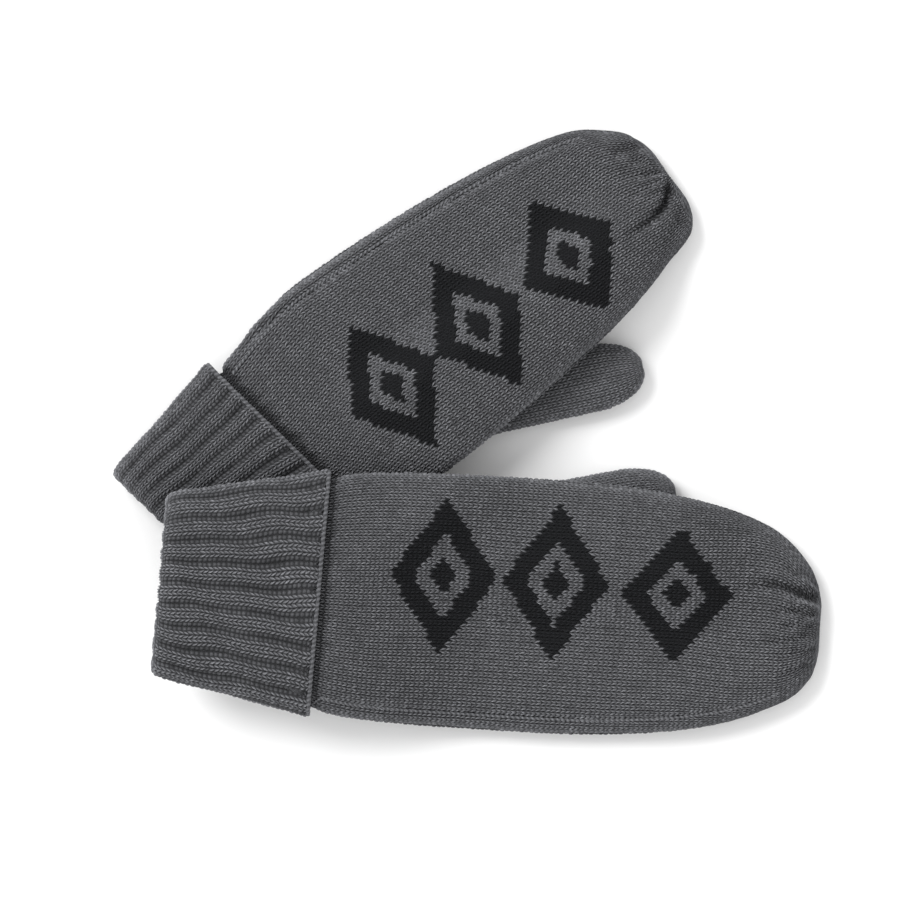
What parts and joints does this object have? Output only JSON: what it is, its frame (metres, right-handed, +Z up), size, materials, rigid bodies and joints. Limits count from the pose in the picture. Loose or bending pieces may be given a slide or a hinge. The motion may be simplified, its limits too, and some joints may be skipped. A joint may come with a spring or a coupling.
{
  "type": "knitted mittens",
  "caption": "Grey knitted mittens lying palm down, one across the other's cuff, with turned-up ribbed cuffs, knitted thumbs and black diamonds.",
  "frame": {"origin": "middle of the footprint of both mittens, on the surface they lie on", "axes": "+X towards the right mitten's fingertips, +Y towards the left mitten, +Z up"},
  "size_m": [0.2919, 0.2502, 0.0425],
  "materials": {
    "grey_yarn": "soft matte plain knit",
    "rib_yarn": "soft matte rib knit",
    "black_yarn": "soft matte plain knit"
  },
  "bodies": {
    "left_hand": {"left_hand_shell": "grey_yarn", "left_cuff_liner": "rib_yarn", "left_hand_seam": "grey_yarn", "left_thumb_seam": "grey_yarn", "left_hand_motif": "black_yarn"},
    "left_fingers": {"left_finger_shell": "grey_yarn", "left_finger_seam": "grey_yarn", "left_tip_gather": "grey_yarn", "left_finger_motif": "black_yarn"},
    "left_thumb": {"left_thumb_shell": "grey_yarn"},
    "left_cuff": {"left_cuff_band": "rib_yarn"},
    "right_hand": {"right_hand_shell": "grey_yarn", "right_cuff_liner": "rib_yarn", "right_hand_seam": "grey_yarn", "right_thumb_seam": "grey_yarn", "right_hand_motif": "black_yarn"},
    "right_fingers": {"right_finger_shell": "grey_yarn", "right_finger_seam": "grey_yarn", "right_tip_gather": "grey_yarn", "right_finger_motif": "black_yarn"},
    "right_thumb": {"right_thumb_shell": "grey_yarn"},
    "right_cuff": {"right_cuff_band": "rib_yarn"}
  },
  "joints": [
    {"name": "right_mitten_lift", "type": "slide", "parent": "left_hand", "child": "right_hand", "axis": [0, 0, 1], "range_m": [0, 0.12]},
    {"name": "left_finger_fold", "type": "hinge", "parent": "left_hand", "child": "left_fingers", "pos_m": [0.02548, 0.04992, 0.0314], "axis": [0.5813, -0.8001, 0.1483], "range_deg": [0, 70]},
    {"name": "left_thumb_swing", "type": "hinge", "parent": "left_hand", "child": "left_thumb", "pos_m": [-0.00628, 0.00831, 0.006], "axis": [0, 0, -1], "range_deg": [-10, 8]},
    {"name": "left_cuff_turn_down", "type": "slide", "parent": "left_hand", "child": "left_cuff", "axis": [-0.809, -0.5878, 0], "range_m": [0, 0.055]},
    {"name": "right_finger_fold", "type": "hinge", "parent": "right_hand", "child": "right_fingers", "pos_m": [0.05986, -0.05901, 0.0314], "axis": [-0.0586, -0.9872, -0.1483], "range_deg": [0, 70]},
    {"name": "right_thumb_swing", "type": "hinge", "parent": "right_hand", "child": "right_thumb", "pos_m": [0.00669, -0.04083, 0.006], "axis": [0, 0, 1], "range_deg": [-10, 8]},
    {"name": "right_cuff_turn_down", "type": "slide", "parent": "right_hand", "child": "right_cuff", "axis": [-0.9982, 0.0593, 0], "range_m": [0, 0.06]}
  ]
}
